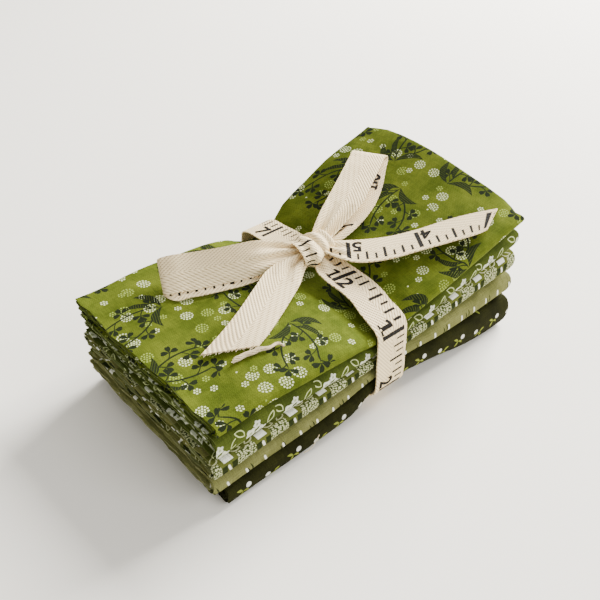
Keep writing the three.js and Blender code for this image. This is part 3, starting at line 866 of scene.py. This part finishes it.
class Ribbon:
    """A length of tape through rows of its edges, pleated where it is drawn in narrower.

    waves is how many pleats it has and phase where the first one is; loose is how far its two
    edges rise and fall by turns, in mm.
    """

    ACROSS = 23  # points across the tape

    def __init__(self, rows, waves=2.5, phase=0.3, step=0.7, loose=0.0):
        rows = np.array(rows, float)
        middles = (rows[:, :3] + rows[:, 3:]) / 2
        chord = np.linalg.norm(np.diff(middles, axis=0), axis=1)
        knots = np.concatenate([[0], np.cumsum(chord)])
        way = np.linspace(0, knots[-1], int(knots[-1] / step) + 1)
        a, b = eased(way, knots, rows[:, :3]), eased(way, knots, rows[:, 3:])
        share = np.linspace(0, 1, self.ACROSS)
        width = np.linalg.norm(b - a, axis=1)
        ahead = np.gradient((a + b) / 2, axis=0)
        normal = np.cross(ahead, b - a)
        normal /= np.linalg.norm(normal, axis=1)[:, None]
        spare = np.clip(TAPE_WIDTH / width - 1.06, 0, 2.2)  # goes into the pleats
        depth = np.minimum(width / (math.pi * waves) * np.sqrt(spare), DEEPEST_PLEAT)
        ridge = np.cos(2 * math.pi * waves * share + phase)
        lift = depth[:, None] * ridge + loose * np.sin(way / 7)[:, None] * (2 * share - 1)
        self.places = (
            a[:, None] + (b - a)[:, None] * share[None, :, None] + normal[:, None] * lift[..., None]
        )
        self.way, self.share, self.normal = way, share, normal

    def piece(self, name, inch_marks, ticks_on_b, printed_out):
        """The strip's surface, its UV told from its inch marks and from the edge with ticks."""
        across = (1 - self.share if ticks_on_b else self.share) * TAPE_WIDTH
        self.inch_marks = inch_marks
        printed = 4 * INCH + np.interp(self.way, *inch_marks)  # whole inches, kept above zero
        flat = np.stack(np.broadcast_arrays(printed[:, None], across[None]), -1)
        return grid_mesh(name, self.places, flat, flip=not printed_out)

    def at(self, printed, across, lift):
        """A point over the tape, by its place along the print and its distance from edge a."""
        way = np.interp(printed, *self.inch_marks[::-1])
        along = np.interp(way, self.way, np.arange(len(self.way)))
        low = np.clip(along.astype(int), 0, len(self.way) - 2)
        part = (along - low)[:, None]
        column = np.clip(across / TAPE_WIDTH, 0, 1) * (len(self.share) - 1)
        left = np.clip(column.astype(int), 0, len(self.share) - 2)
        side = (column - left)[:, None]
        near = self.places[low, left] * (1 - side) + self.places[low, left + 1] * side
        far = self.places[low + 1, left] * (1 - side) + self.places[low + 1, left + 1] * side
        return near * (1 - part) + far * part + self.normal[low] * lift


def knot_turn(centre, radii, width, waves, phase, tilt):
    """A turn of tape drawn tight across the knot, gathered into ridges."""
    angles = np.linspace(-0.5, 2 * math.pi - 0.5, 49)
    share = np.linspace(0, 1, 19)
    spare = TAPE_WIDTH / width - 1
    depth = min(width / (math.pi * waves) * math.sqrt(spare), 0.5)
    lift = depth * np.cos(2 * math.pi * waves * share + phase)[None] - 0.9 * (2 * share - 1) ** 4
    lift = lift + 0.12 * np.sin(5 * angles)[:, None]
    y = (radii[0] + lift) * np.cos(angles)[:, None]
    z = (radii[1] + lift) * np.sin(angles)[:, None]
    x = (share - 0.5)[None] * width + 0 * y
    turned_x = x * math.cos(tilt) - y * math.sin(tilt)
    turned_y = x * math.sin(tilt) + y * math.cos(tilt)
    places = np.stack([turned_x, turned_y, z], -1) + np.array(centre)
    way = angles * (radii[0] + radii[1]) / 2
    flat = np.stack(np.broadcast_arrays(1.3 * way[:, None], share[None] * 9 + 0.6), -1)
    return places, flat


TICKS = [  # every how many mm, half thickness, how far from the edge each starts and ends
    (INCH / 8, 0.4, 1.3, 4.7), (INCH / 4, 0.46, 1.3, 6.0),
    (INCH / 2, 0.54, 1.3, 7.4), (INCH, 0.8, 1.3, 11.5),
]


def twill_tape(name, printed):
    """Cream cotton in a herringbone of two columns, with ticks along one edge if printed."""
    material, shader, sheet = fabric(name, 0.85, 0.05)
    s, w = sheet.parts()
    aside = abs(w - 6.9)
    rib_place = (s + aside * 1.5) / 1.75
    rib = (rib_place * (2 * math.pi)).maths("SINE")
    stitch = ((w * 1.1 - s * 0.35) * (2 * math.pi / 0.8)).maths("SINE")
    fuzz = sheet.noise(1.9, 3.0, 0.65)
    uneven = sheet.noise(0.16, 2.0, 0.5)
    emboss(material, shader, rib * 0.5 + stitch * 0.16 + fuzz * 0.9, 0.7)
    # Painted shade: the colour darkens towards brown in the hollows between the ribs, and more
    # where the stitches dip there. Fuzz and unevenness add random tone on top.
    groove_shade = (rib * -1 - 0.45).crisp(0.9)
    groove_shade = groove_shade * 0.28 + (stitch * -1 - 0.5).crisp(0.6) * groove_shade * 0.6
    shade = (fuzz - 0.5) * 0.35 + (uneven - 0.5) * 0.3 + groove_shade
    shade = shade.maths("MAXIMUM", 0.0).maths("MINIMUM", 1.0)
    colour = shade.mix(hue("#ffe9bb"), hue("#a58352"))
    if printed:
        ticks = []
        for every, half, start, end in TICKS:
            off = abs((s + every / 2) % every - every / 2)
            long = (end - start) / 2 - abs(w - (start + end) / 2)
            ticks.append((half - off).maths("MINIMUM", long))
        worn = joined(*ticks) + (fuzz - 0.5) * 0.35
        colour = worn.crisp(0.16).mix(colour, hue("#1c1a18"))
    material.node_tree.links.new(colour.socket, shader.inputs["Base Color"])
    return material


printed_tape = twill_tape("printed_tape", True)
bare_tape = twill_tape("bare_tape", False)

left_loop = Ribbon(LEFT_LOOP, 2.5, 0.4, loose=0.15)
right_loop = Ribbon(RIGHT_LOOP, 2.0, 2.6, loose=0.15)
left_tail = Ribbon(LEFT_TAIL, 2.0, 0.0, loose=0.2)
right_tail = Ribbon(RIGHT_TAIL, 2.5, 1.0, loose=0.2)
band = Ribbon(BAND, 1.5, 2.4)
# Ways along a strip and the tape's print there, from one of its inch marks.
BAND_MARKS = (
    [0, 14.75, 21.25, 29.0, 37.25, 45.5, 68.4, 230],
    [-40.15, -INCH, -0.75 * INCH, -0.5 * INCH, -0.25 * INCH, 0, INCH, INCH + 161.6],
)
strips = [
    left_loop.piece("left_loop", ([0, 200], [-3.2, 196.8]), False, True),
    right_loop.piece("right_loop", ([0, 200], [-94, 106]), False, True),
    left_tail.piece("left_tail", ([0, 200], [0, 200]), False, True),
    right_tail.piece("right_tail", ([0, 200], [-12, 188]), True, False),
    band.piece("band", BAND_MARKS, True, True),
]
for strip in strips:
    strip.data.materials.append(printed_tape)
    strip.data.materials.append(bare_tape)
    thicken(strip, TAPE_THICKNESS, 50)
left_turn = grid_mesh("left_turn", *knot_turn((0.6, 2.8, 43.0), (7.0, 4.4), 8.2, 1.5, 0.6, -0.14))
right_turn = grid_mesh("right_turn", *knot_turn((6.9, 3.4, 43.3), (5.4, 4.3), 6.8, 1.5, 3.4, 0.1))
for turn, finish in ((left_turn, printed_tape), (right_turn, bare_tape)):
    turn.data.materials.append(finish)
    turn.data.materials.append(bare_tape)
    thicken(turn, TAPE_THICKNESS, 50)

select(*strips, left_turn, right_turn)
bpy.ops.object.join()
tie = bpy.context.object
tie.name = tie.data.name = "twill_tape"


NUMBER_HEIGHT = 5.6
CAPITAL = 0.7  # height of the font's numbers, as a share of its size
INK = 0.06  # over the tape's face
ONE = [  # corners of its foot, its stem and its flag
    (-1.4, 0), (1.6, 0), (1.6, 0.8), (-1.4, 0.8), (-0.5, 0.8), (0.6, 0.8), (0.6, 5.6),
    (-0.5, 5.6), (-0.5, 4.4), (-1.6, 3.7), (-1.6, 4.9),
]


def print_number(text, ribbon, printed, from_a, reads_on, top_to_b, printed_out):
    """A number printed on the tape: flat shapes laid over the strip and bent with it.

    printed and from_a are its middle's place along the print and across the tape. reads_on is 1
    if it reads the way that the print's measure grows, and top_to_b tells where its top points.
    """
    if text == "1":
        one = bpy.data.meshes.new("one")
        faces = [(0, 1, 2, 3), (4, 5, 6, 7), (8, 7, 10, 9)]
        one.from_pydata([(*corner, 0) for corner in ONE], [], faces)
        number = bpy.data.objects.new("one", one)
        bpy.context.collection.objects.link(number)
        select(number)
    else:
        bpy.ops.object.select_all(action="DESELECT")
        bpy.ops.object.text_add(location=(0, 0, 0))
        number = bpy.context.object
        number.data.body, number.data.size = text, NUMBER_HEIGHT / CAPITAL
        number.data.align_x, number.data.offset = "CENTER", 0.25
        bpy.ops.object.convert(target="MESH")
        number = bpy.context.object
    bpy.ops.object.mode_set(mode="EDIT")
    bpy.ops.mesh.select_all(action="SELECT")
    bpy.ops.mesh.remove_doubles(threshold=0.02)
    bpy.ops.mesh.subdivide(number_cuts=2)
    bpy.ops.object.mode_set(mode="OBJECT")
    flat = np.empty(len(number.data.vertices) * 3)
    number.data.vertices.foreach_get("co", flat)
    flat = flat.reshape(-1, 3)
    along = printed + flat[:, 0] * reads_on
    across = from_a + (flat[:, 1] - NUMBER_HEIGHT / 2) * (1 if top_to_b else -1)
    lift = (TAPE_THICKNESS / 2 + INK) * (1 if printed_out else -1)
    number.data.vertices.foreach_set("co", (ribbon.at(along, across, lift) * MM).ravel())
    number.name = "number"
    return number


PRINT = (  # for each strip, how its numbers lie and where each one is
    (band, (4.6, 1, True, True), [
        ("1", -INCH - 2.6), ("2", -INCH + 3.2), ("1", -2.6), ("2", INCH - 3.2),
        ("7", 6 * INCH - 3.2),
    ]),
    (right_tail, (4.6, -1, True, False), [
        ("5", 3.2), ("4", INCH + 3.2), ("3", 2 * INCH + 3.2),
    ]),
    (right_loop, (9.0, -1, False, True), [
        ("9", 3.2), ("1", -INCH + 2.6), ("0", -INCH - 2.9),
    ]),
)
numbers = [
    print_number(text, ribbon, printed, *lie) for ribbon, lie, row in PRINT for text, printed in row
]
select(*numbers)
bpy.ops.object.join()
numerals = bpy.context.object
numerals.name = numerals.data.name = "printed_numbers"
numerals.data.materials.clear()
numerals.data.materials.append(flecked("tape_ink", 0.8, 1800.0, "#0e0d0c", "#2c2926"))

# Threads that have come loose: hairs at the left tail's cut end, a torn twist of them that lies
# on the cloth in front of it, and one long one caught under the front folds.
rng = np.random.RandomState(7)
threads = []  # each one's points and its half thickness
last, before = left_tail.places[-1], left_tail.places[-4]
for column in range(Ribbon.ACROSS):
    outwards = (last[column] - before[column]) / np.linalg.norm(last[column] - before[column])
    stray = rng.uniform(-0.6, 0.6, 3) * (1, 1, 0.25)
    reach = rng.uniform(0.5, 1.5)
    root = last[column] - outwards * 0.3
    threads.append(([root, root + outwards * reach * 0.6, root + (outwards + stray) * reach], 0.09))
twist_route = np.array([
    (-50.8, -21.8), (-48.0, -22.4), (-45.6, -22.6), (-43.2, -23.4), (-41.0, -23.7),
    (-38.8, -25.0), (-37.6, -25.3), (-35.6, -25.2), (-34.5, -26.2), (-34.8, -28.6),
])
TWIST_POINTS = 46
way = np.linspace(0, len(twist_route) - 1, TWIST_POINTS)
route = eased(way, np.arange(len(twist_route)), twist_route)
for strand in range(8):
    turn = strand * math.pi / 4 + way * 1.3
    spread = np.interp(way, [0, 4, 6, 9], [0.85, 0.7, 0.35, 0.5])
    spread = spread + 0.1 * np.sin(way * 2.3 + strand)
    x = route[:, 0] + 0.3 * np.cos(turn) * spread
    y = route[:, 1] + np.cos(turn) * spread
    z = upper_side(len(CLOTHS) - 1, x, y) + 0.9 + 0.7 * np.sin(turn) * spread
    z = z + 0.5 * smooth(way, 8, 9)
    first = rng.randint(0, 4)
    end = TWIST_POINTS - rng.randint(0, 8)
    threads.append((np.stack([x, y, z], -1)[first:end], 0.2))
threads.append((np.array([
    (-38.6, -41.0, 3.4), (-37.6, -41.5, 4.0), (-36.4, -41.6, 4.1), (-35.0, -41.5, 4.6),
    (-33.6, -41.4, 5.8), (-32.0, -41.3, 7.6),
]), 0.14))
hairs = bpy.data.curves.new("loose_threads", "CURVE")
hairs.dimensions, hairs.bevel_depth, hairs.bevel_resolution = "3D", MM, 1
for points, radius in threads:
    spline = hairs.splines.new("POLY")
    spline.points.add(len(points) - 1)
    for point, place in zip(spline.points, points):
        point.co = (*(np.array(place) * MM), 1)
        point.radius = radius
    spline.use_smooth = True
loose = bpy.data.objects.new("loose_threads", hairs)
bpy.context.collection.objects.link(loose)
select(loose)
bpy.ops.object.convert(target="MESH")
loose = bpy.context.object
loose.name = loose.data.name = "loose_threads"
loose.data.materials.append(flecked("loose_thread", 0.9, 1500.0, "#fff1d2", "#c3a97e"))
for piece in (tie, numerals, loose):
    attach(piece, "root")
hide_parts("tape_tie")
